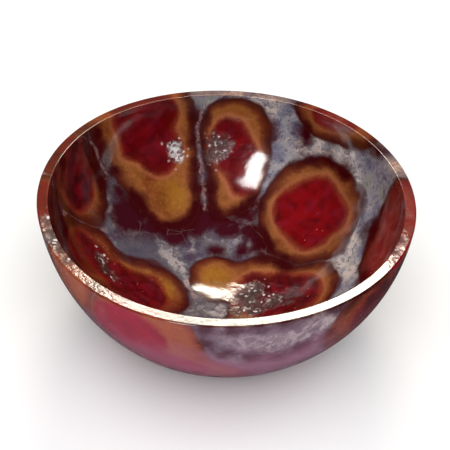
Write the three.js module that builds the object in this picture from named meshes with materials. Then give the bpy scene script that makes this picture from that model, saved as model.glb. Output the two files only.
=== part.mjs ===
// A small round bowl carved from one piece of orbicular jasper and polished all over.
// Outside and inside are two nested ellipsoid caps. The outside is ground flat underneath so
// that the bowl stands, and the mouth ends in a flat lip whose two edges are eased by hand.
// Hand grinding leaves the bowl a little out of round and its foot a little off the centre.
// Millimetres, +Z up, origin at the middle of the flat foot, which is z = 0.
import * as THREE from "three";

// Driving dimensions
const mouthRadius = 38; // outer edge of the lip
const height = 33; // foot to lip
const lipWidth = 2.25; // wall thickness at the mouth
const hollowDepth = 29.1; // lip to the lowest point inside
const outerBelly = 39.5; // vertical half axis of the outer ellipsoid
const outerRise = 2.3; // its centre stands this far above the lip
const innerRise = 1.2; // the same for the inner ellipsoid
const outerEase = 0.35; // rounding of the lip's outer edge
const innerEase = 0.2; // rounding of the lip's inner edge
const footEase = 0.6; // rounding of the foot's edge

// Hand grinding: waves round the rim, each with its swing and where it first peaks
const rimWaves = [
  { count: 3, swing: 0.22, peak: 0.35 },
  { count: 4, swing: 0.14, peak: 1.0 },
];
const footOffset = 0.7; // how far the foot's centre lies towards +X of the mouth's centre

// Mesh fineness
const roundSteps = 96;
const outerSteps = 18;
const innerSteps = 18;
const easeSteps = 3;

// Radius of an ellipsoid cap at a height, where its horizontal half axis makes it meet the lip
function capRadius(lipRadius, rise, belly, z) {
  const halfWidth = lipRadius / Math.sqrt(1 - (rise / belly) ** 2);
  const drop = (height + rise - z) / belly;
  return halfWidth * Math.sqrt(Math.max(0, 1 - drop ** 2));
}

// A quarter round between two points of the profile, bulging towards the corner point
function easedCorner(from, corner, to, steps) {
  const curve = new THREE.QuadraticBezierCurve(from, corner, to);
  return curve.getPoints(steps);
}

const outerAt = (z) => capRadius(mouthRadius, outerRise, outerBelly, z);
const innerBelly = hollowDepth + innerRise;
const innerAt = (z) => capRadius(mouthRadius - lipWidth, innerRise, innerBelly, z);

// Half of the bowl's section, from the middle of the foot round the lip to the hollow's bottom
function sectionPoints() {
  const footRadius = outerAt(0);
  const points = [new THREE.Vector2(0, 0)];
  points.push(
    ...easedCorner(
      new THREE.Vector2(footRadius - footEase, 0),
      new THREE.Vector2(footRadius, 0),
      new THREE.Vector2(outerAt(footEase), footEase),
      easeSteps,
    ),
  );
  // equal steps of the ellipse's angle, so that the rings crowd where the wall turns under
  const lowAngle = Math.asin((height + outerRise - footEase) / outerBelly);
  const highAngle = Math.asin((outerRise + outerEase) / outerBelly);
  for (let i = 1; i < outerSteps; i++) {
    const angle = lowAngle + ((highAngle - lowAngle) * i) / outerSteps;
    const z = height + outerRise - outerBelly * Math.sin(angle);
    points.push(new THREE.Vector2(outerAt(z), z));
  }
  points.push(
    ...easedCorner(
      new THREE.Vector2(outerAt(height - outerEase), height - outerEase),
      new THREE.Vector2(mouthRadius, height),
      new THREE.Vector2(mouthRadius - outerEase, height),
      easeSteps,
    ),
  );
  const lipInside = mouthRadius - lipWidth;
  points.push(
    ...easedCorner(
      new THREE.Vector2(lipInside + innerEase, height),
      new THREE.Vector2(lipInside, height),
      new THREE.Vector2(innerAt(height - innerEase), height - innerEase),
      easeSteps,
    ),
  );
  const startAngle = Math.asin((innerRise + innerEase) / innerBelly);
  for (let i = 1; i < innerSteps; i++) {
    const angle = startAngle + ((Math.PI / 2 - startAngle) * i) / innerSteps;
    const z = height + innerRise - innerBelly * Math.sin(angle);
    points.push(new THREE.Vector2(innerAt(z), z));
  }
  points.push(new THREE.Vector2(0, height - hollowDepth));
  return points;
}

// Moves a turned shape's points as hand grinding would: a little out of round, foot off centre
function grindByHand(geometry) {
  const position = geometry.attributes.position;
  for (let i = 0; i < position.count; i++) {
    const x = position.getX(i);
    const y = position.getY(i);
    const z = position.getZ(i);
    const angle = Math.atan2(y, x);
    let swell = 1;
    for (const wave of rimWaves) {
      swell += (wave.swing / mouthRadius) * Math.cos(wave.count * (angle - wave.peak));
    }
    const share = Math.hypot(x, y) / mouthRadius; // no swell on the axis, where no angle is
    const scale = 1 + (swell - 1) * share;
    position.setXY(i, x * scale + footOffset * (1 - z / height), y * scale);
  }
  return geometry;
}

function makeBowl() {
  const turned = new THREE.LatheGeometry(sectionPoints(), roundSteps);
  turned.rotateX(Math.PI / 2); // the lathe turns about Y
  const stone = new THREE.MeshStandardMaterial({ color: 0x8a3424, roughness: 0.12, metalness: 0 });
  const bowl = new THREE.Mesh(grindByHand(turned), stone);
  bowl.name = "bowl";
  return bowl;
}

const part = new THREE.Group();
part.name = "jasper_bowl";
part.add(makeBowl());

export default part;
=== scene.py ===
# %% [markdown]
# A small polished bowl of orbicular jasper
#
# The whole object is one stone. A lapidary saws a block, grinds an outside and a hollow, flattens
# the lip and polishes everything, so the pattern that shows is a cut through what was inside the
# stone: round orbs of red and ochre quartz in a grey and lilac ground. This lesson first loads
# the measured model, which says how big the bowl is and where it stands. Everything after that
# is about how it looks.

# %% Load the measured model
import math
import bpy
from mathutils import Euler, Matrix, Vector


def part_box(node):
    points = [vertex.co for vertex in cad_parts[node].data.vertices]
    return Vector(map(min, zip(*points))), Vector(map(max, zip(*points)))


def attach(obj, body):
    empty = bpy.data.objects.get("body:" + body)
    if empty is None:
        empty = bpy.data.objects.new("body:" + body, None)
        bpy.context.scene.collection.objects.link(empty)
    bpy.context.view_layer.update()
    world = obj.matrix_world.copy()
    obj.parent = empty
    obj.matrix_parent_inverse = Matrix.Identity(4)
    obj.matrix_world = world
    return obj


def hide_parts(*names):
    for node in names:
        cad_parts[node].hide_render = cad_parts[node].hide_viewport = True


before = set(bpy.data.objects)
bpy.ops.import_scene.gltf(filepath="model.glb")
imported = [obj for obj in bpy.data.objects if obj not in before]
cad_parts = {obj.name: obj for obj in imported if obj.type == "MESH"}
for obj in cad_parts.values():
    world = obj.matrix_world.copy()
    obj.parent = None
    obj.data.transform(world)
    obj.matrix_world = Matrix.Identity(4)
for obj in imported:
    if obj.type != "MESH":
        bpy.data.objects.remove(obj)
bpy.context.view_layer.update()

# %% [markdown]
# Sizes
#
# The bowl's section is two nested ellipse arcs joined by a flat lip. These are the same driving
# dimensions that the measured model was turned from, in millimetres, because a stone worker would
# read them off a rule. The height is read from the model, so that the two can't drift apart.

# %% The driving dimensions
MM = 0.001
box_low, box_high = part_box("bowl")
height = (box_high[2] - box_low[2]) / MM
mouth_radius = 38.0
lip_width = 2.25
hollow_depth = 29.1
outer_belly = 39.5
outer_rise = 2.3
inner_rise = 1.2
inner_belly = hollow_depth + inner_rise
outer_ease = 0.35
inner_ease = 0.2
foot_ease = 0.6
rim_waves = [(3, 0.22, 0.35), (4, 0.14, 1.0)]
foot_offset = 0.7
print("height of the bowl in mm", round(height, 2))


def cap_half_width(lip_radius, rise, belly):
    """Horizontal half axis of an ellipsoid whose centre is rise above the lip that it meets."""
    return lip_radius / math.sqrt(1 - (rise / belly) ** 2)


outer_half_width = cap_half_width(mouth_radius, outer_rise, outer_belly)
inner_half_width = cap_half_width(mouth_radius - lip_width, inner_rise, inner_belly)


def outer_radius(z):
    return outer_half_width * math.sqrt(max(0, 1 - ((height + outer_rise - z) / outer_belly) ** 2))


def inner_radius(z):
    return inner_half_width * math.sqrt(max(0, 1 - ((height + inner_rise - z) / inner_belly) ** 2))


# %% [markdown]
# The camera
#
# The photograph was taken from in front and above, close to the bowl, with the camera turned a
# little so that the right side of the mouth sits lower. The distance follows from how much wider
# the near lip looks than the far one. The lens shift stays at zero, so other views stay true.

# %% Place the camera
image_width = 450
camera_distance = 190 * MM
camera_elevation = math.radians(37.89)
camera_dip = math.radians(2.115)
camera_roll = math.radians(2.22)
focal_pixels = 943.6
sensor_width = 36.0

bpy.ops.object.select_all(action="DESELECT")
bpy.ops.object.camera_add()
camera = bpy.context.object
camera.name = "photo_camera"
camera.data.sensor_width = sensor_width
camera.data.lens = focal_pixels / image_width * sensor_width
camera.data.clip_start = 0.01
mouth_middle = Vector((0, 0, height * MM))
away = Vector((0, -math.cos(camera_elevation), math.sin(camera_elevation)))
level_view = Euler((math.pi / 2 - camera_elevation - camera_dip, 0, 0)).to_matrix()
camera.rotation_euler = (level_view @ Matrix.Rotation(camera_roll, 3, "Z")).to_euler()
camera.location = mouth_middle + away * camera_distance
bpy.context.scene.camera = camera
print("lens in mm", round(camera.data.lens, 1))

# %% [markdown]
# The bowl's section
#
# A turned shape is easiest to get right from its half section. It could be drawn as a curve and
# screwed round, but a chain of extruded vertices keeps full control of how close the points lie:
# closer on the two lip edges, which catch a thin line of light, and even along the walls. The flat
# of the lip needs a few rows as well, two of them close to its edges. Smooth shading bends the
# light over the first row on each side, so with a single row the lip would never shine as a flat.

# %% Points of the half section
foot_rows = 10
wall_rows = 84
hollow_rows = 84
ease_rows = 5
lip_shares = [0.04, 0.2, 0.4, 0.6, 0.8, 0.96]  # where the lip's rows lie, as shares of its flat


def eased_corner(start, corner, end):
    """Points of a quadratic curve from start to end that bulges towards the corner."""
    points = []
    for row in range(ease_rows + 1):
        t = row / ease_rows
        shares = ((1 - t) ** 2, 2 * t * (1 - t), t * t)
        radius, z = (sum(s * c for s, c in zip(shares, trio)) for trio in zip(start, corner, end))
        points.append((radius, z))
    return points


def wall_arc(radius_at, rise, belly, low_z, high_z, rows):
    """Points between two heights on an ellipse arc, at equal steps of the ellipse's angle."""
    low_angle = math.asin(min(1, (height + rise - low_z) / belly))
    high_angle = math.asin((height + rise - high_z) / belly)
    points = []
    for row in range(1, rows):
        angle = low_angle + (high_angle - low_angle) * row / rows
        z = height + rise - belly * math.sin(angle)
        points.append((radius_at(z), z))
    return points


def bowl_section():
    """Points (radius, z) from the middle of the foot, round the lip, to the hollow's bottom."""
    foot_radius = outer_radius(0)
    foot_flat = foot_radius - foot_ease
    foot = [(foot_flat * row / foot_rows, 0) for row in range(foot_rows)]
    wall_start = (outer_radius(foot_ease), foot_ease)
    foot += eased_corner((foot_flat, 0), (foot_radius, 0), wall_start)
    wall_top = height - outer_ease
    outside = wall_arc(outer_radius, outer_rise, outer_belly, foot_ease, wall_top, wall_rows)
    lip_inside = mouth_radius - lip_width
    flat_start = mouth_radius - outer_ease
    flat_end = lip_inside + inner_ease
    wall_end = (outer_radius(wall_top), wall_top)
    lip = eased_corner(wall_end, (mouth_radius, height), (flat_start, height))
    lip += [(flat_start + (flat_end - flat_start) * share, height) for share in lip_shares]
    hollow_top = height - inner_ease
    hollow_start = (inner_radius(hollow_top), hollow_top)
    lip += eased_corner((flat_end, height), (lip_inside, height), hollow_start)
    floor_z = height - hollow_depth
    inside = wall_arc(inner_radius, inner_rise, inner_belly, floor_z, hollow_top, hollow_rows)
    inside.reverse()
    return foot + outside + lip + inside + [(0, floor_z)]


section = bowl_section()
print("points in the half section", len(section))

# %% [markdown]
# Turning the bowl
#
# A plane is added and merged to one vertex, which is extruded along the section. The chain is then
# spun round the upright axis, as on a lathe. The spin leaves a double row of vertices where it
# closes and many at the two poles, so doubles are merged before the normals are made to face out.

# %% Spin the section
round_steps = 360
same_point = 0.01 * MM


def deselect_all():
    if bpy.context.mode != "OBJECT":
        bpy.ops.object.mode_set(mode="OBJECT")
    bpy.ops.object.select_all(action="DESELECT")


deselect_all()
bpy.ops.mesh.primitive_plane_add(size=2 * MM)
bowl = bpy.context.object
bowl.name = "jasper_bowl"
bowl.data.name = "jasper_bowl"
bpy.ops.object.mode_set(mode="EDIT")
bpy.ops.mesh.select_all(action="SELECT")
bpy.ops.mesh.merge(type="CENTER")
for (radius, z), (next_radius, next_z) in zip(section, section[1:]):
    step = ((next_radius - radius) * MM, 0, (next_z - z) * MM)
    bpy.ops.mesh.extrude_region_move(TRANSFORM_OT_translate={"value": step})
bpy.ops.mesh.select_all(action="SELECT")
bpy.ops.mesh.spin(steps=round_steps, angle=2 * math.pi, center=(0, 0, 0), axis=(0, 0, 1))
bpy.ops.mesh.select_all(action="SELECT")
bpy.ops.mesh.remove_doubles(threshold=same_point)
bpy.ops.mesh.normals_make_consistent(inside=False)
bpy.ops.object.mode_set(mode="OBJECT")
print("faces after the spin", len(bowl.data.polygons))

# %% [markdown]
# Ground by hand
#
# No hand-held bowl comes off the grinding wheel perfectly round. The rim keeps a wave of a few
# tenths of a millimetre, and the foot sits a little off the middle. The same waves are in the
# measured model, so the two shapes stay one.

# %% Move the points as the grinding did


def ground_point(x, y, z):
    """Where a point of the turned shape ends up after hand grinding, in millimetres."""
    angle = math.atan2(y, x)
    swell = 0
    for count, swing, peak in rim_waves:
        swell += swing / mouth_radius * math.cos(count * (angle - peak))
    scale = 1 + swell * math.hypot(x, y) / mouth_radius
    return x * scale + foot_offset * (1 - z / height), y * scale, z


for vertex in bowl.data.vertices:
    vertex.co = Vector(ground_point(*(vertex.co / MM))) * MM
print("bowl size in mm", [round(side / MM, 2) for side in bowl.dimensions])

# %% [markdown]
# Where the orbs lie
#
# Each orb grew outwards from a few centres that ran together, so it is described as a lump of
# balls that melt into each other. The dark skin and the ochre ring follow the lump's outline, and
# a second, smaller lump is its heart. A centre is given on the inside or the outside wall by
# its compass angle, 0 at the right and 90 at the back, its climb from the bottom, 0, to the
# lip, 90, and its radius in millimetres. Because they are balls in space, an orb that shows inside
# also shows where the outside wall cuts it, as in the real stone. An orb that only the outside
# wall cuts has its centres off the wall, in the part of the block that was ground away. Gold says
# how yellow the ring is, and red how bright the heart is.

# %% List the orbs
ORBS = {
    "great_left": {
        "body": [
            (120, 62, 9.0), (121, 46, 7.6), (127, 56, 6.4), (131, 72, 7.5), (132, 86, 8.6),
            (118, 80, 9.4), (143, 93, 4.0),
        ],
        "heart": [(124, 75, 6.3), (119, 65, 4.8), (127, 87, 5.6), (120, 82, 5.6)],
        "gold": 1.0,
        "red": 0.45,
    },
    "pear": {
        "body": [(87, 71, 8.3), (85, 59, 7.7), (86, 48, 5.6), (90, 41, 3.8)],
        "heart": [(89, 68, 4.2), (84, 60, 4.3), (82, 50, 3.0), (90, 62, 4.2)],
        "gold": 1.4,
        "red": 0.6,
    },
    "red_eye": {
        "body": [(41, 47, 13.0)],
        "heart": [(47, 46, 6.2), (34, 51, 4.8), (43, 51, 6.0), (36, 42, 4.8)],
        "gold": 0.85,
        "red": 1.0,
    },
    "dark_left": {
        "body": [(162, 80, 8.6), (162, 67, 8.2)],
        "heart": [(163, 83, 6.2), (162, 72, 5.8)],
        "gold": 0.4,
        "red": 0.0,
    },
    "kidney": {
        "body": [(184, 54, 9.0), (186, 38, 6.5), (193, 26, 8.4)],
        "heart": [(186, 55, 5.6), (190, 40, 4.6), (196, 30, 5.8)],
        "gold": 0.1,
        "red": 0.2,
    },
    "crescent": {
        "body": [(107, 7, 6.7), (20, 16, 7.3), (355, 30, 8.2), (320, 18, 7.2)],
        "heart": [(351, 27, 5.4), (345, 20, 5.8), (350, 11, 4.6), (8, 13, 4.6), (3, 20, 4.6)],
        "gold": 1.0,
        "red": 0.1,
    },
    "right_edge": {
        "body": [(351, 77, 13.0), (342, 90, 12.6)],
        "heart": [(351, 78, 11.6), (341, 92, 11.2)],
        "gold": 0.2,
        "red": 1.3,
    },
    "upper_right": {
        "body": [(54, 91, 7.4), (40, 94, 6.9), (47, 93, 7.2)],
        "heart": [(52, 91, 4.0), (46, 93, 4.2)],
        "gold": 0.6,
        "red": 0.9,
    },
    "rim_gold": {
        "body": [(151, 90, 3.2)],
        "gold": 1.5,
    },
    "left_rim": {
        "body": [(194, 90, 6.6), (182, 92, 4.8)],
        "heart": [(194, 91, 4.8), (185, 91, 4.0)],
        "gold": 0.5,
        "red": 0.8,
    },
    "front_pink": {
        "wall": "outside",
        "body": [(246, 76, 12.4), (262, 56, 10.0)],
        "heart": [(243, 76, 7.6), (256, 62, 5.8)],
        "gold": 0.5,
        "red": 1.0,
    },
    "front_right": {
        "wall": "outside",
        "body": [(314, 76, 8.6), (330, 76, 9.0), (322, 62, 8.0)],
        "heart": [(320, 76, 6.0), (330, 70, 5.6)],
        "gold": 0.0,
        "red": 0.0,
    },
    "left_pale": {
        "wall": "outside",
        "off": 4.0,
        "body": [(222, 84, 10.0)],
        "gold": 0.7,
    },
    "back_left": {
        "wall": "outside",
        "off": 8.0,
        "body": [(152, 46, 11.2), (170, 38, 10.6)],
        "heart": [(152, 47, 9.4)],
        "gold": 0.3,
        "red": 0.8,
    },
    "back_low": {
        "wall": "outside",
        "off": 8.5,
        "body": [(92, 38, 11.4), (72, 42, 10.8)],
        "heart": [(90, 38, 9.6)],
        "gold": 0.6,
        "red": 0.6,
    },
    "right_low": {
        "wall": "outside",
        "off": 9.0,
        "body": [(2, 46, 12.0)],
        "heart": [(3, 46, 10.2)],
        "gold": 0.9,
        "red": 0.9,
    },
    "right_back": {
        "wall": "outside",
        "off": 6.0,
        "body": [(66, 68, 8.2)],
        "heart": [(66, 68, 6.6)],
        "gold": 0.4,
        "red": 0.5,
    },
    "left_low": {
        "wall": "outside",
        "off": 7.0,
        "body": [(205, 44, 10.0), (222, 40, 9.6)],
        "heart": [(207, 44, 8.2)],
        "gold": 0.5,
        "red": 0.7,
    },
    "foot_front": {
        "wall": "outside",
        "off": 4.0,
        "body": [(300, 24, 9.5), (330, 30, 7.6)],
        "heart": [(304, 24, 6.0)],
        "gold": 0.8,
        "red": 0.8,
    },
}


def on_wall(wall, angle, climb, off=0.0):
    """A point of the inside or the outside wall, or off it along its normal, in millimetres."""
    half_width, belly, rise = {
        "inside": (inner_half_width, inner_belly, inner_rise),
        "outside": (outer_half_width, outer_belly, outer_rise),
    }[wall]
    turn = math.radians(angle)
    lift = math.radians(climb)
    normal = Vector((math.sin(lift) / half_width, -math.cos(lift) / belly)).normalized()
    out = half_width * math.sin(lift) + off * normal[0]
    z = height + rise - belly * math.cos(lift) + off * normal[1]
    return out * math.cos(turn), out * math.sin(turn), z


def balls_on_wall(balls, wall="inside", off=0.0):
    """Turns (angle, climb, radius) into (centre, radius), all in millimetres."""
    return [(on_wall(wall, angle, climb, off), radius) for angle, climb, radius in balls]


print("orbs", len(ORBS), "balls", sum(len(orb["body"]) for orb in ORBS.values()))

# %% [markdown]
# Stains, frost, gilding and crystal pockets
#
# Iron stained the ground maroon and purple where it lay between crowded orbs. Elsewhere the
# ground is full of pale crystals, like frost. A few patches of the orbs are gilded and a few blush
# pale; one of these, on the lip at the back right, is a painted highlight along the rim. Some hearts
# never filled up: they hold a crust of tiny quartz crystals, mostly dark with a few painted white
# glints, and in one orb silver grey with painted glints. The ragged lip has such a crust too, on its
# left and at its right end. All of these are listed in the same way as the orbs, as an angle, a
# climb and a radius.

# %% List the patches
STAINS = [
    (47, 69, 1.6), (39, 70, 1.4), (55, 66, 1.6), (60, 76, 2.2), (147, 46, 4.4), (152, 66, 3.6),
    (139, 38, 2.8), (182, 68, 3.5), (150, 76, 3.0), (138, 50, 3.0), (127, 33, 3.4),
    (112, 35, 4.6), (100, 35, 3.2), (88, 30, 2.8), (72, 29, 2.8), (78, 36, 3.0), (74, 42, 2.2),
    (102, 46, 2.0), (103, 56, 1.6), (103, 67, 1.4), (104, 78, 1.4), (139, 74, 2.2),
    (142, 84, 1.8), (60, 28, 3.6), (27, 91, 2.6), (30, 24, 2.6), (96, 20, 1.6), (70, 22, 1.8),
    (50, 25, 2.0), (8, 62, 2.0), (196, 76, 4.0), (188, 78, 4.0), (204, 66, 4.0), (180, 80, 3.0),
    (140, 66, 1.6), (143, 57, 1.6),
]
STAINS_OUTSIDE = [
    (266, 87, 1.4), (273, 87, 1.5), (280, 87, 1.6), (287, 87, 1.6), (294, 87, 1.8),
    (302, 87, 2.4), (266, 79, 1.4), (272, 75, 1.4), (279, 72, 1.8), (287, 71, 1.9),
    (295, 73, 1.7), (302, 76, 1.4), (311, 85, 2.8), (320, 82, 3.0), (332, 78, 4.0),
    (345, 66, 6.0),
]
FROST = [
    (58, 71, 2.4), (52, 74, 2.8), (46, 76, 3.0), (40, 75, 3.2), (34, 70, 2.8), (30, 64, 1.6),
    (19, 57, 1.8), (12, 51, 3.0), (5, 44, 3.2), (357, 48, 2.8), (352, 55, 2.0), (76, 84, 3.0),
    (88, 91, 3.0), (151, 67, 1.3), (152, 60, 1.5), (154, 54, 1.8), (154, 48, 2.0),
    (150, 43, 1.6), (143, 27, 2.2), (145, 21, 2.2), (158, 14, 2.0), (240, 9, 2.4),
    (275, 10, 2.4), (15, 90, 2.8),
]
FROST_OUTSIDE = [(277, 80, 2.6), (272, 81, 2.0), (284, 78, 2.6), (292, 80, 2.6), (300, 82, 2.2)]
GILDING = [
    (173, 33, 2.8), (117, 46, 3.0), (110, 12, 5.0), (185, 20, 2.4), (22, 90, 2.6),
    (160, 92, 3.0),
]
SILVER = [(113, 65, 1.5), (112, 61, 1.1)]
# The ball at (50, 90) paints a highlight along the rim's edge; the others are pale pink in the stone.
BLUSH_AND_RIM_HIGHLIGHT = [(352, 77, 10.4), (344, 86, 7.6), (50, 90, 4.4), (20, 54, 2.6)]
BLUSH_OUTSIDE = [(220, 84, 9.0), (234, 82, 3.0)]
POCKETS = SILVER + [
    (96, 66, 1.7), (92, 65, 1.7), (97, 60, 1.6), (94, 62, 1.8), (89, 66, 0.8), (182, 48, 1.4),
    (187, 45, 1.3), (190, 42, 0.8), (350, 9, 2.4), (335, 12, 2.2), (10, 12, 1.6),
    (322, 14, 2.0), (345, 19, 1.4), (300, 11, 1.6), (199, 89, 1.2), (203, 90, 1.8),
    (208, 89, 1.5), (213, 90, 1.8), (218, 89, 1.4), (338, 88, 1.2), (333, 88, 0.9),
]
print("stains", len(STAINS), "crystal patches", len(FROST), "pockets", len(POCKETS))

# %% [markdown]
# Pressing the crystal pockets
#
# The pockets are true hollows, a tenth of a millimetre deep and rough with crystals. The turned
# mesh is too coarse for crystals, so the faces round the pockets are picked by place and
# subdivided. Two displace modifiers then move them, one evenly inwards and one by a crystal
# texture, and a vertex group holds both to the pockets. Sculpting each pit by hand would look no
# better at this size.

# %% Subdivide and press the pockets
pocket_balls = [(Vector(centre), radius) for centre, radius in balls_on_wall(POCKETS)]
past_edge = 0.4  # how far a pocket's slope runs out past its ball, in millimetres
crystal_size = 0.5
pressed_in = -0.12
crystal_swing = 0.13


def pocket_share(spot):
    """1 deep inside a pocket, falling to 0 just past its edge."""
    reach = min((spot / MM - centre).length - radius for centre, radius in pocket_balls)
    return min(1.0, max(0.0, past_edge - reach))


deselect_all()
bowl.select_set(True)
bpy.context.view_layer.objects.active = bowl
bpy.ops.object.mode_set(mode="EDIT")
bpy.ops.mesh.select_mode(type="VERT")
bpy.ops.mesh.select_all(action="DESELECT")
bpy.ops.object.mode_set(mode="OBJECT")
for vertex in bowl.data.vertices:
    vertex.select = pocket_share(vertex.co) > 0
bpy.ops.object.mode_set(mode="EDIT")
bpy.ops.mesh.subdivide(number_cuts=2)
bpy.ops.object.mode_set(mode="OBJECT")

pocket_group = bowl.vertex_groups.new(name="pockets")
for vertex in bowl.data.vertices:
    share = pocket_share(vertex.co)
    if share > 0:
        pocket_group.add([vertex.index], share, "REPLACE")
crystals = bpy.data.textures.new("crystals", "VORONOI")
crystals.noise_scale = crystal_size * MM


def press_pockets(name, texture, push, middle):
    """Moves the pockets' points along their normals, by push where the texture is at its full."""
    bpy.ops.object.modifier_add(type="DISPLACE")
    press = bowl.modifiers[-1]
    press.name = name
    press.texture = texture
    press.strength = push * MM
    press.mid_level = middle
    press.vertex_group = "pockets"
    bpy.ops.object.modifier_apply(modifier=name)


press_pockets("hollow", None, pressed_in, 0.0)
press_pockets("crystals", crystals, crystal_swing, 0.5)
print("faces after the pockets", len(bowl.data.polygons))

# %% [markdown]
# Small helpers for node materials
#
# A procedural material is a long chain of small sums, and wiring each by hand hides the idea.
# These helpers add a node or two each and return the output, so that the recipe below reads like
# a list of what the stone is made of. Colours are given from 0 to 255. A fade is the most used: it
# turns a distance into a share, with a soft step between two places.

# %% Node helpers


def paint(red, green, blue):
    """A colour given from 0 to 255, as the linear colour that a shader takes."""
    linear = []
    for picked in (red, green, blue):
        share = picked / 255
        linear.append(((share + 0.055) / 1.055) ** 2.4 if picked > 10 else share / 12.92)
    return (*linear, 1.0)


def add_node(tree, kind, inputs=None, **settings):
    """Adds a node, sets its properties, and gives each input a value or links it."""
    new = tree.nodes.new(kind)
    for name, value in settings.items():
        setattr(new, name, value)
    for key, value in (inputs or {}).items():
        if isinstance(value, bpy.types.NodeSocket):
            tree.links.new(value, new.inputs[key])
        else:
            new.inputs[key].default_value = value
    return new


def calc(tree, operation, *values, clamp=False):
    inputs = dict(enumerate(values))
    sums = add_node(tree, "ShaderNodeMath", inputs, operation=operation, use_clamp=clamp)
    return sums.outputs[0]


def times(tree, first, *others):
    """The product of all the values, in their order."""
    for other in others:
        first = calc(tree, "MULTIPLY", first, other)
    return first


def vector_calc(tree, operation, *values):
    sums = add_node(tree, "ShaderNodeVectorMath", dict(enumerate(values)), operation=operation)
    return sums.outputs["Value" if operation in ("DISTANCE", "LENGTH") else "Vector"]


def grow(tree, vector, factor):
    """The vector made longer by a plain number."""
    grown = vector_calc(tree, "SCALE", vector)
    grown.node.inputs["Scale"].default_value = factor
    return grown


def fade(tree, value, start, end, low=0.0, high=1.0):
    """A soft step: low where value is before start, high where it is past end."""
    inputs = {"Value": value, "From Min": start, "From Max": end, "To Min": low, "To Max": high}
    step = add_node(tree, "ShaderNodeMapRange", inputs, interpolation_type="SMOOTHSTEP")
    return step.outputs["Result"]


def cloud(tree, point, size, detail=3.0, roughness=0.5):
    """Soft noise from 0 to 1 whose lumps are about size millimetres across."""
    inputs = {"Vector": point, "Scale": 1 / size, "Detail": detail, "Roughness": roughness}
    return add_node(tree, "ShaderNodeTexNoise", inputs)


def three_clouds(tree, point, size, detail=3.0, roughness=0.5):
    """Three soft noises that have nothing to do with each other."""
    noise = cloud(tree, point, size, detail, roughness)
    return add_node(tree, "ShaderNodeSeparateColor", {0: noise.outputs["Color"]}).outputs


def cells(tree, point, size, feature="F1"):
    """Crystal cells about size millimetres across."""
    return add_node(tree, "ShaderNodeTexVoronoi", {"Vector": point, "Scale": 1 / size}, feature=feature)


def cell_tone(tree, cell_node):
    """A steady value from 0 to 1 that differs from cell to cell."""
    return add_node(tree, "ShaderNodeSeparateColor", {0: cell_node.outputs["Color"]}).outputs[0]


def blend(tree, share, first, second, mode="MIX"):
    """The first colour where share is 0, the second where it is 1."""
    inputs = {0: share, 6: first, 7: second}
    mix = add_node(tree, "ShaderNodeMix", inputs, data_type="RGBA", blend_type=mode)
    return mix.outputs[2]


def ramp(tree, value, stops):
    """A colour ramp; stops are (position, colour)."""
    new = add_node(tree, "ShaderNodeValToRGB", {0: value})
    bar = new.color_ramp
    while len(bar.elements) < len(stops):
        bar.elements.new(0.5)
    for element, (position, colour) in zip(bar.elements, stops):
        element.position = position
        element.color = colour
    return new.outputs["Color"]


def lump(tree, point, balls, melt):
    """Distance in millimetres to a lump of balls, below zero inside it."""
    field = None
    for centre, radius in balls:
        reach = calc(tree, "SUBTRACT", vector_calc(tree, "DISTANCE", point, centre), radius)
        field = reach if field is None else calc(tree, "SMOOTH_MIN", field, reach, melt)
    return field


print("middle grey as a shader takes it", paint(128, 128, 128))

# %% [markdown]
# The stone
#
# The recipe works in millimetres on the object's own coordinates. First the point is pushed about
# by soft noise, so that no outline is a true circle. Then come the distance to the nearest orb's
# skin, the distance to the nearest heart and the crystal pockets. Ramps over those distances give
# the bands, in the order in which they grew: dark skin, ochre ring, red heart. What is left is the
# grey and lilac ground, with pale crystals, fine healed cracks and maroon stains.

# %% Start the material and bend the coordinates
jasper = bpy.data.materials.new("orbicular_jasper")
jasper.use_nodes = True
tree = jasper.node_tree
tree.nodes.clear()
coordinates = add_node(tree, "ShaderNodeTexCoord")
point = grow(tree, coordinates.outputs["Object"], 1 / MM)


def wander(tree, point, size, reach):
    """Moves a point by up to about reach millimetres, by noise of that size."""
    noise = cloud(tree, point, size, detail=2.0)
    push = vector_calc(tree, "SUBTRACT", noise.outputs["Color"], (0.5, 0.5, 0.5))
    return vector_calc(tree, "ADD", point, grow(tree, push, 2 * reach))


slow_bend = wander(tree, point, 7.0, 1.4)
bent = wander(tree, slow_bend, 1.8, 0.2)
frayed = wander(tree, point, 1.6, 0.4)
print("nodes that bend the coordinates", len(tree.nodes))

# %% [markdown]
# Distances to the orbs
#
# Where two orbs meet, a thin dark seam runs between them. Keeping the nearest and the second
# nearest orb gives that seam for free: half their difference is the distance to the meeting line.
# The balls of a body melt together over a wider reach than those of a heart, which is smaller.

# %% Measure each point against the orbs
body_melt = 5.0
heart_melt = 3.0
nearest = None
second = None
heart = None
gold = 0.0
red = 0.0
for orb in ORBS.values():
    wall = orb.get("wall", "inside")
    off = orb.get("off", 0.0)
    body_field = lump(tree, bent, balls_on_wall(orb["body"], wall, off), body_melt)
    gold = calc(tree, "MAXIMUM", gold, fade(tree, body_field, 0.5, -0.5, 0.0, orb["gold"]))
    if nearest is None:
        nearest = body_field
    else:
        farther = calc(tree, "MAXIMUM", nearest, body_field)
        second = farther if second is None else calc(tree, "MINIMUM", second, farther)
        nearest = calc(tree, "MINIMUM", nearest, body_field)
    if "heart" in orb:
        heart_field = lump(tree, bent, balls_on_wall(orb["heart"], wall, off), heart_melt)
        red = calc(tree, "MAXIMUM", red, fade(tree, heart_field, 1.0, -1.0, 0.0, orb["red"]))
        heart = heart_field if heart is None else calc(tree, "MINIMUM", heart, heart_field)
depth = calc(tree, "MULTIPLY", nearest, -1.0)
seam = calc(tree, "MULTIPLY", calc(tree, "SUBTRACT", second, nearest), 0.5)
skin = calc(tree, "MINIMUM", depth, calc(tree, "SUBTRACT", seam, 0.1))
print("nodes after the orbs", len(tree.nodes))
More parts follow.
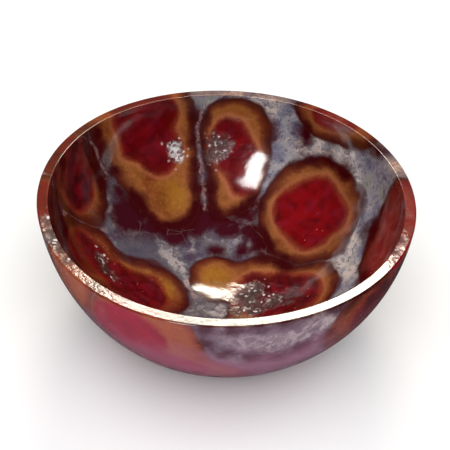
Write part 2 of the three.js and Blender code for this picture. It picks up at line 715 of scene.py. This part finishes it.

# %% [markdown]
# Distances to the patches
#
# Stains, frost, gilding, blush and the painted rim highlight are lumps as well, measured on the
# slowly bent coordinates, so that their outlines wander. The pockets take the frayed ones, which
# keep to their place better: their colour has to lie where the mesh was pressed in.

# %% Measure each point against the patches
patch_melt = 2.0
pocket_melt = 1.0


def patches(inside, outside=()):
    """Distance to the patches of both walls."""
    balls = balls_on_wall(inside) + balls_on_wall(outside, "outside")
    return lump(tree, slow_bend, balls, patch_melt)


stained = patches(STAINS, STAINS_OUTSIDE)
frosted = patches(FROST, FROST_OUTSIDE)
gilded = patches(GILDING)
blush_and_highlight_reach = patches(BLUSH_AND_RIM_HIGHLIGHT, BLUSH_OUTSIDE)
pocket = lump(tree, frayed, balls_on_wall(POCKETS), pocket_melt)
silver = lump(tree, frayed, balls_on_wall(SILVER), pocket_melt)
print("nodes after the patches", len(tree.nodes))

# %% [markdown]
# The rings
#
# The skin of each orb is maroon, almost black, and turns slowly to rust and then to ochre. How
# yellow it gets differs between the orbs and wanders within each. The widths wander as well. A
# little grain runs through it all, because the quartz grew as fibres.

# %% Colour the rings
slow = three_clouds(tree, slow_bend, 6.0, detail=1.0)
mottle = three_clouds(tree, bent, 2.4, detail=3.0, roughness=0.6)
grain = three_clouds(tree, bent, 0.7, detail=3.0, roughness=0.6)


def stray(tree, value, noise, reach):
    """Adds noise to a distance, up to about reach millimetres either way."""
    either_way = calc(tree, "SUBTRACT", noise, 0.5)
    return calc(tree, "ADD", value, calc(tree, "MULTIPLY", either_way, 2 * reach))


def steady(tree, value, start, end):
    """Like fade, but at an even pace, for ramps."""
    even = fade(tree, value, start, end)
    even.node.interpolation_type = "LINEAR"
    return even


ring_depth = stray(tree, stray(tree, skin, slow[0], 1.4), mottle[2], 0.6)
ring_depth = stray(tree, ring_depth, grain[0], 0.15)
ring_place = steady(tree, ring_depth, -1.0, 6.0)
rusty_ring = ramp(tree, ring_place, [
    (0.00, paint(62, 22, 26)),
    (0.16, paint(58, 12, 14)),
    (0.34, paint(74, 20, 14)),
    (0.50, paint(98, 34, 20)),
    (0.72, paint(112, 44, 24)),
    (1.00, paint(108, 36, 22)),
])
golden_ring = ramp(tree, ring_place, [
    (0.00, paint(62, 22, 26)),
    (0.16, paint(64, 20, 16)),
    (0.26, paint(84, 32, 19)),
    (0.36, paint(110, 50, 27)),
    (0.50, paint(143, 83, 42)),
    (0.75, paint(138, 79, 33)),
    (1.00, paint(118, 58, 18)),
])
gilding = fade(tree, stray(tree, gilded, mottle[0], 2.0), 3.0, -2.6, 0.0, 0.8)
gold_share = times(tree, gold, stray(tree, stray(tree, 1.0, slow[1], 1.0), mottle[0], 0.8))
gold_share = calc(tree, "ADD", gold_share, gilding, clamp=True)
ring = blend(tree, gold_share, rusty_ring, golden_ring)
print("nodes after the bands", len(tree.nodes))

# %% [markdown]
# What runs through the rings
#
# Over the bands go slow brown clouds, the gilding, pale speckles and small rusty clouds. Next to
# the heart the gold is lit up pink, and right at the heart's edge it turns to rust.

# %% Mottle the rings
ring = blend(tree, fade(tree, slow[2], 0.5, 0.72, 0.0, 0.35), ring, paint(92, 40, 16))
ring = blend(tree, times(tree, gilding, fade(tree, skin, 1.6, 4.2)), ring, paint(152, 100, 30))
speckle = times(tree, fade(tree, grain[1], 0.48, 0.76, 0.0, 0.3), fade(tree, skin, 1.0, 2.6))
ring = blend(tree, speckle, ring, paint(180, 124, 66))
ring = blend(tree, fade(tree, mottle[1], 0.48, 0.74, 0.0, 0.35), ring, paint(92, 36, 20))
lit_edge = times(tree, fade(tree, heart, 2.2, 1.0), fade(tree, skin, 1.6, 3.0, 0.0, 0.5), gold)
ring = blend(tree, lit_edge, ring, paint(170, 98, 66))
rust_edge = times(tree, fade(tree, stray(tree, heart, grain[2], 0.5), 1.2, 0.2), 0.75)
ring = blend(tree, rust_edge, ring, paint(122, 34, 22))
print("nodes after the rings", len(tree.nodes))

# %% [markdown]
# The hearts
#
# Hearts are crimson in some orbs and almost black in others. Their edges are soft and rusty, and
# clouds of purple and of lighter red drift through them. Where an orb blushes, ring and heart
# alike are veiled in pale pink, in uneven clouds; on the lip at the back right the same veil is a
# painted highlight along the rim.

# %% Colour the hearts
heart_depth = stray(tree, stray(tree, heart, slow[2], 1.2), grain[2], 0.5)
heart_place = steady(tree, heart_depth, 1.0, -4.0)
dark_heart = ramp(tree, heart_place, [
    (0.00, paint(100, 36, 20)),
    (0.22, paint(80, 16, 10)),
    (0.55, paint(66, 5, 7)),
    (1.00, paint(60, 4, 12)),
])
bright_heart = ramp(tree, heart_place, [
    (0.00, paint(132, 48, 30)),
    (0.16, paint(118, 14, 12)),
    (0.40, paint(112, 2, 5)),
    (1.00, paint(126, 3, 11)),
])
heart_colour = blend(tree, red, dark_heart, bright_heart)
heart_clouds = three_clouds(tree, slow_bend, 3.0, detail=1.0, roughness=0.4)
dark_cloud = fade(tree, heart_clouds[0], 0.44, 0.68, 0.0, 0.55)
light_cloud = fade(tree, heart_clouds[1], 0.46, 0.68, 0.0, 0.36)
purple_cloud = fade(tree, heart_clouds[2], 0.46, 0.68, 0.0, 0.3)
heart_colour = blend(tree, dark_cloud, heart_colour, paint(64, 3, 10))
heart_colour = blend(tree, light_cloud, heart_colour, paint(138, 14, 22))
heart_colour = blend(tree, purple_cloud, heart_colour, paint(124, 22, 42))
in_heart = fade(tree, heart_depth, 1.0, -0.8)
orb_colour = blend(tree, in_heart, ring, heart_colour)
# Pale pink blush, and on the lip at the back right a painted highlight along the rim.
blush_and_highlight = times(
    tree,
    fade(tree, blush_and_highlight_reach, 1.5, -2.5, 0.0, 0.5),
    fade(tree, skin, 0.8, 2.4),
    fade(tree, heart_clouds[1], 0.36, 0.66, 1.0, 0.4),
    fade(tree, mottle[2], 0.3, 0.6, 1.1, 0.6),
)
orb_colour = blend(tree, blush_and_highlight, orb_colour, paint(170, 94, 82))
print("nodes after the hearts", len(tree.nodes))

# %% [markdown]
# Inside or outside
#
# The front of the outer wall gets a painted sheen: a pale haze that stands for reflected light,
# pinker and softer than the rest, and low down a painted lilac reflection of the floor. How far a
# point lies from the middle of the outer ellipsoid, as a share of its size, tells the outer wall
# from the hollow.

# %% Find the front of the outer wall, where the sheen is painted
place = add_node(tree, "ShaderNodeSeparateXYZ", {0: point}).outputs
scaled_point = vector_calc(tree, "SUBTRACT", point, (0, 0, height + outer_rise))
outer_axes = (outer_half_width, outer_half_width, outer_belly)
scaled_point = vector_calc(tree, "DIVIDE", scaled_point, outer_axes)
outward = vector_calc(tree, "LENGTH", scaled_point)
outer_wall = fade(tree, outward, 0.95, 0.985)
front_wall = times(
    tree,
    outer_wall,
    fade(tree, stray(tree, place["Y"], slow[1], 8.0), 0, -20),
    fade(tree, stray(tree, place["X"], slow[2], 6.0), 27, 15, 0.2, 1.0),
)
# Share of the painted floor reflection, strongest low on the front of the outer wall.
painted_floor_reflection = fade(tree, stray(tree, place["Z"], slow[1], 5.0), 28, 18, 0.0, 0.62)
on_lip = fade(tree, place["Z"], height - 0.3, height - 0.1)
print("nodes after the sheen_painted side", len(tree.nodes))

# %% [markdown]
# The ground between the orbs
#
# The last quartz to fill the gaps is blue-grey and lilac, with purple clouds in it. In the hollow
# a painted shade darkens the ground towards the left and the front, and fades out towards the
# right and the back.

# %% Colour the ground
ground_clouds = three_clouds(tree, slow_bend, 4.0, detail=4.0, roughness=0.6)
ground = ramp(tree, ground_clouds[0], [
    (0.34, paint(104, 98, 118)),
    (0.46, paint(128, 126, 140)),
    (0.56, paint(154, 148, 152)),
    (0.68, paint(142, 142, 132)),
])
# Painted shade: the ground in the hollow is darkened towards the left and the front.
toward_light = calc(tree, "ADD", place["X"], calc(tree, "MULTIPLY", place["Y"], 0.4))
in_hollow = calc(tree, "SUBTRACT", 1.0, outer_wall)
painted_shade = times(tree, fade(tree, toward_light, 14, -5, 0.0, 0.86), in_hollow)
ground = blend(tree, painted_shade, ground, paint(74, 66, 74))
outer_ground = calc(tree, "SUBTRACT", 0.75, calc(tree, "MULTIPLY", on_lip, 0.5))
ground = blend(tree, times(tree, front_wall, outer_ground), ground, paint(96, 56, 76))
purple_patch = fade(tree, ground_clouds[2], 0.55, 0.68, 0.0, 0.65)
ground = blend(tree, purple_patch, ground, paint(70, 36, 66))
print("nodes after the ground", len(tree.nodes))

# %% [markdown]
# Pale crystals
#
# Crystals crowd in the listed patches and lie thinly elsewhere. Flakes of one tone each, cut out of
# a cell texture, look more like crystals than soft noise alone. Dark pinholes go over them.

# %% Scatter the pale crystals
frost_edge = stray(tree, stray(tree, frosted, mottle[0], 3.0), grain[2], 1.0)
thin_frost = fade(tree, ground_clouds[1], 0.53, 0.66, 0.0, 0.6)
frost = times(
    tree,
    calc(tree, "MAXIMUM", fade(tree, frost_edge, 1.0, -1.2), thin_frost),
    fade(tree, mottle[1], 0.36, 0.52, 0.35, 1.0),
    fade(tree, cell_tone(tree, cells(tree, bent, 1.5)), 0.15, 0.4, 0.25, 1.0),
    # fewer pale crystals on the side of the painted shade
    fade(tree, toward_light, -12, 12, 0.5, 1.0),
)
ground = blend(tree, frost, ground, paint(202, 186, 178))
ground = blend(tree, fade(tree, grain[1], 0.52, 0.66, 0.0, 0.7), ground, paint(70, 62, 78))
print("nodes after the crystals", len(tree.nodes))

# %% [markdown]
# Stains, veins and cracks
#
# The ground is stained next to every orb and in the listed patches. Pale veins run along the
# meeting lines, where the gap between two orbs closed last, so they go over the stains. They break
# up here and there and are faint where the ground is pale. A few fine healed cracks cross the rest.

# %% Stain the ground and draw its veins
near_skin = fade(tree, stray(tree, nearest, slow[1], 1.8), 1.1, -0.2, 0.0, 0.9)
ground = blend(tree, near_skin, ground, paint(64, 22, 26))
vein_edge = stray(tree, stray(tree, seam, mottle[1], 0.7), grain[2], 0.35)
vein = times(
    tree,
    fade(tree, vein_edge, 0.5, 0.1),
    fade(tree, nearest, 1.7, 0.9, 0.0, 0.8),
    fade(tree, grain[0], 0.36, 0.56, 0.2, 1.0),
    fade(tree, mottle[2], 0.4, 0.56, 0.2, 1.0),
    fade(tree, toward_light, 9, 15, 1.0, 0.25),
)
stain_edge = stray(tree, stray(tree, stained, ground_clouds[1], 3.0), grain[1], 0.8)
stain_share = fade(tree, stain_edge, 2.6, -1.4)
far_stain = fade(tree, stray(tree, nearest, mottle[2], 1.6), 0.4, 2.4)
stain = blend(tree, far_stain, paint(56, 0, 4), paint(60, 6, 20))
ground = blend(tree, stain_share, ground, stain)
ground = blend(tree, vein, ground, paint(150, 114, 112))
crack = cells(tree, bent, 9.0, feature="DISTANCE_TO_EDGE").outputs["Distance"]
crack_share = times(tree, fade(tree, crack, 0.012, 0.004, 0.0, 0.06), fade(tree, slow[2], 0.52, 0.6))
ground = blend(tree, crack_share, ground, paint(206, 192, 194))
print("nodes after the veins", len(tree.nodes))

# %% [markdown]
# Orbs, ground and painted sheen together
#
# The orbs go over the ground, and a stain next to an orb also darkens its rim. On the front of the
# outer wall a painted sheen veils the colours, each towards a pale tone of its own: the ground to
# lavender, the rings to salmon and the hearts to pink; low down a painted lilac reflection of the
# floor goes over it. The lip's top is painted a little darker and warmer than the walls, as painted
# shade, and it is warmer still on the left.

# %% Put the colours together
in_orb = fade(tree, skin, -0.4, 0.3)
stone_colour = blend(tree, in_orb, ground, orb_colour)
rim_stain = times(tree, stain_share, fade(tree, skin, 3.4, 1.2), in_orb)
stone_colour = blend(tree, rim_stain, stone_colour, stain)
# Painted sheen: a pale haze over the front of the outer wall, less on the lip, on stains and in hearts.
painted_sheen = times(
    tree,
    front_wall,
    calc(tree, "SUBTRACT", 0.34, calc(tree, "MULTIPLY", on_lip, 0.29)),
    fade(tree, stain_share, 0.0, 1.0, 1.0, 0.4),
    fade(tree, in_heart, 0.0, 1.0, 1.0, 0.85),
)
# The pale tones of the painted sheen: lavender ground, salmon rings, pink hearts.
orb_sheen_tone = blend(tree, in_heart, paint(208, 122, 112), paint(222, 96, 124))
sheen_tone = blend(tree, in_orb, paint(168, 144, 164), orb_sheen_tone)
stone_colour = blend(tree, painted_sheen, stone_colour, sheen_tone)
# Painted reflection of the pale floor, lilac, low on the front of the outer wall.
stone_colour = blend(tree, times(tree, front_wall, painted_floor_reflection), stone_colour, paint(168, 108, 134))
# Painted shade: the lip's top is multiplied a little darker and warmer.
stone_colour = blend(tree, on_lip, stone_colour, paint(226, 196, 182), mode="MULTIPLY")
warm_lip = times(tree, on_lip, fade(tree, place["X"], 10, -30, 0.0, 0.1))
stone_colour = blend(tree, warm_lip, stone_colour, paint(186, 112, 72))
print("nodes after the colours", len(tree.nodes))

# %% [markdown]
# Crystal crust and painted glints
#
# The pockets hold a crust of crumbs, mostly dark grey, in clouds, with a few white ones that are
# painted glints. One pocket's crust is silver grey, and its white crumbs are painted glints too.
# Larger painted glints lie in and round the pockets, and here and there a small one shows in a
# heart. Both come from the same cells: only the middle of a cell is painted bright, and only in
# some cells.

# %% Lay the crust and the painted glints
crumb = cells(tree, bent, 0.6)
crumb_tone = cell_tone(tree, crumb)
# The crust's own colours, with painted glints in its white top stop.
crust_and_glints = ramp(tree, crumb_tone, [
    (0.00, paint(24, 18, 16)),
    (0.45, paint(50, 39, 35)),
    (0.88, paint(82, 70, 64)),
    (0.97, paint(206, 198, 192)),
])
# Silver-grey crust, whose white crumbs are painted glints.
silver_crust_and_glints = ramp(tree, crumb_tone, [
    (0.00, paint(72, 62, 58)),
    (0.40, paint(128, 122, 118)),
    (0.64, paint(240, 242, 240)),
])
crust_and_glints = blend(tree, fade(tree, mottle[0], 0.42, 0.6, 0.0, 0.65), crust_and_glints, paint(34, 14, 16))
crust_and_glints = blend(tree, fade(tree, silver, 1.0, -0.3), crust_and_glints, silver_crust_and_glints)
pocket_edge = stray(tree, stray(tree, pocket, mottle[2], 1.6), grain[1], 1.0)
in_pocket = fade(tree, pocket_edge, 1.3, -1.1)
stone_colour = blend(tree, times(tree, in_pocket, 0.7), stone_colour, crust_and_glints)
glints = cells(tree, bent, 1.3)
glint_tone = cell_tone(tree, glints)
from_middle = glints.outputs["Distance"]
# Painted glints: larger bright flecks in and round the pockets.
painted_pocket_glints = times(
    tree,
    fade(tree, stray(tree, from_middle, grain[2], 0.28), 0.34, 0.16),
    fade(tree, glint_tone, 0.68, 0.74),
    fade(tree, pocket, 2.6, 0.6, 0.0, 0.9),
)
stone_colour = blend(tree, painted_pocket_glints, stone_colour, paint(226, 206, 204))
# Painted glints: small bright sparks in the hearts.
painted_heart_glints = times(
    tree,
    fade(tree, from_middle, 0.14, 0.06),
    fade(tree, glint_tone, 0.82, 0.86),
    in_heart,
)
stone_colour = blend(tree, painted_heart_glints, stone_colour, paint(196, 104, 104))
print("nodes after the crust", len(tree.nodes))

# %% [markdown]
# Relief and gloss
#
# A mirror polish shows every unevenness in its reflections, so a bump far too shallow to see by
# itself matters. A hand polish leaves slow ripples on the walls, almost none on the ground-flat
# lip, and the surface gets rougher towards a crystal pocket. The front of the lip is worn: fine
# chips break up its glare, most of all on the left. The stone is glossy all over and only the crust
# in the pockets is dull, apart from the silver one.

# %% Add relief and gloss and finish the material
slow_ripple = cloud(tree, point, 5.0, detail=1.0).outputs["Fac"]
chips = cloud(tree, point, 0.6, detail=2.0).outputs["Fac"]
worn_lip = times(
    tree,
    fade(tree, place["Z"], height - 0.3, height - 0.05),
    fade(tree, place["Y"], -9, -14),
    fade(tree, place["X"], 34, 28),
)
reliefs = [
    times(tree, slow_ripple, fade(tree, place["Z"], height - 1.5, height - 0.2, 0.12, 0.03)),
    times(tree, grain[0], 0.006),
    times(tree, crumb.outputs["Distance"], in_pocket, 0.08),
    times(tree, mottle[0], fade(tree, pocket, 7.0, 1.0, 0.0, 0.12)),
    times(tree, chips, worn_lip, fade(tree, place["X"], -3, -15, 0.008, 0.03)),
]
surface = reliefs[0]
for relief in reliefs[1:]:
    surface = calc(tree, "ADD", surface, relief)
bump = add_node(tree, "ShaderNodeBump", {"Height": surface, "Strength": 1.0, "Distance": MM})
polish = 0.1
crust_roughness = 0.5
roughness = calc(tree, "ADD", times(tree, in_pocket, crust_roughness), polish)
silver_shine = fade(tree, silver, 1.2, -0.5, 0.0, 0.36)
roughness = calc(tree, "SUBTRACT", roughness, silver_shine, clamp=True)
shader = add_node(tree, "ShaderNodeBsdfPrincipled", {
    "Base Color": stone_colour,
    "Roughness": roughness,
    "Normal": bump.outputs["Normal"],
    "IOR": 1.54,
})
add_node(tree, "ShaderNodeOutputMaterial", {"Surface": shader.outputs["BSDF"]})
print("nodes in the stone", len(tree.nodes))

# %% [markdown]
# Finish the bowl
#
# The bowl's faces are smoothed except across sharp corners, it takes the stone, and it stands in
# for the measured model's plain bowl, on the same body.

# %% Smooth, colour and attach
sharp_corner = math.radians(40)
deselect_all()
bowl.select_set(True)
bpy.context.view_layer.objects.active = bowl
bpy.ops.object.shade_smooth_by_angle(angle=sharp_corner)
bowl.data.materials.append(jasper)
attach(bowl, "root")
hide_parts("bowl")
print("triangles in the dressed bowl", sum(len(face.vertices) - 2 for face in bowl.data.polygons))

# %% [markdown]
# The floor
#
# The bowl stands on a plain pale surface, wide enough that no view sees its edge close by. It lies
# a tenth of a millimetre under the foot, so that the two don't flicker. The polished wall would
# mirror so pale a floor as a haze over its colours, which a photograph of the stone doesn't show,
# so the floor is hidden from mirror reflections. It still takes the shadow and gives back light.

# %% Lay the floor
floor_size = 8.0
floor_gap = 0.1 * MM
deselect_all()
bpy.ops.mesh.primitive_plane_add(size=floor_size, location=(0, 0, -floor_gap))
floor = bpy.context.object
floor.name = "pale_floor"
pale_floor = bpy.data.materials.new("pale_floor")
pale_floor.use_nodes = True
floor_shader = pale_floor.node_tree.nodes["Principled BSDF"]
floor_shader.inputs["Base Color"].default_value = paint(238, 237, 237)
floor_shader.inputs["Roughness"].default_value = 0.9
floor_shader.inputs["Specular IOR Level"].default_value = 0.0
floor.data.materials.append(pale_floor)
floor.visible_glossy = False
print("floor size in metres", [round(side, 2) for side in floor.dimensions])

# %% [markdown]
# The light
#
# A polished stone shows its lamps, so each lamp's place can be read from its reflection. The
# glare along the front lip and the spot at the bottom come from a wide soft box behind the bowl.
# The tall white patch on the back wall comes from behind the camera on the left. Each box has a
# faint glow round it, as a real diffuser has, which shows in the gloss only. A large soft panel
# above fills the shadows but stays out of the gloss.

# %% Set up the lamps
bowl_middle = Vector((0, 0, 20 * MM))


def soft_box(name, azimuth, elevation, distance, width, tall, brightness, shape="RECTANGLE"):
    """A flat lamp facing the bowl. Azimuth 0 is behind the bowl and 90 on its right."""
    turn = math.radians(azimuth)
    lift = math.radians(elevation)
    heading = Vector((math.sin(turn) * math.cos(lift), math.cos(turn) * math.cos(lift), math.sin(lift)))
    deselect_all()
    bpy.ops.object.light_add(type="AREA", location=bowl_middle + heading * distance)
    lamp = bpy.context.object
    lamp.name = name
    lamp.rotation_euler = (-heading).to_track_quat("-Z", "Y").to_euler()
    lamp.data.shape = shape
    lamp.data.size = width
    lamp.data.size_y = tall
    lamp.data.energy = brightness * math.pi * width * tall
    return lamp


back_box = soft_box(
    "back_soft_box", azimuth=2.5, elevation=44.7, distance=2.0, width=0.7, tall=0.18, brightness=30
)
back_box.data.color = (1.0, 0.95, 0.8)
back_glow = soft_box(
    "back_glow", azimuth=2, elevation=43.5, distance=2.1, width=1.0, tall=0.42, brightness=0.8,
    shape="ELLIPSE",
)
back_glow.data.color = (1.0, 0.94, 0.72)
back_glow.visible_diffuse = False
left_window = soft_box(
    "left_window", azimuth=-159, elevation=39, distance=2.0, width=0.38, tall=1.05, brightness=22
)
left_window.visible_diffuse = False
left_glow = soft_box(
    "left_glow", azimuth=-159, elevation=39, distance=2.1, width=0.6, tall=1.4, brightness=1.0,
    shape="ELLIPSE",
)
left_glow.visible_diffuse = False
top_panel = soft_box(
    "top_panel", azimuth=180, elevation=66, distance=1.6, width=2.0, tall=2.0, brightness=3.0
)
top_panel.visible_glossy = False
lamps = (back_box, back_glow, left_window, left_glow, top_panel)
print("lamp energies in watts", [round(lamp.data.energy, 2) for lamp in lamps])

# %% [markdown]
# The room
#
# The world's light stands for the room. It looks almost white to the camera, as a studio's
# backdrop does, lights the stone softly, and is darkest in the mirror reflections, because the
# polish should show the lamps and not an evenly grey room.

# %% Set up the room
backdrop_strength = 0.98
room_strength = 0.25
mirrored_strength = 0.05
world = bpy.data.worlds.new("studio")
bpy.context.scene.world = world
world.use_nodes = True
background = world.node_tree.nodes["Background"]
background.inputs["Color"].default_value = (0.95, 0.97, 1.0, 1.0)


def pick(share, low, high):
    """The low strength where share is 0, the high one where it is 1."""
    inputs = {"Value": share, "To Min": low, "To Max": high}
    return add_node(world.node_tree, "ShaderNodeMapRange", inputs).outputs["Result"]


light_path = add_node(world.node_tree, "ShaderNodeLightPath").outputs
room = pick(light_path["Is Glossy Ray"], room_strength, mirrored_strength)
brightness = pick(light_path["Is Camera Ray"], room, backdrop_strength)
world.node_tree.links.new(brightness, background.inputs["Strength"])
bpy.context.scene.view_settings.view_transform = "Standard"
print("nodes in the room", len(world.node_tree.nodes))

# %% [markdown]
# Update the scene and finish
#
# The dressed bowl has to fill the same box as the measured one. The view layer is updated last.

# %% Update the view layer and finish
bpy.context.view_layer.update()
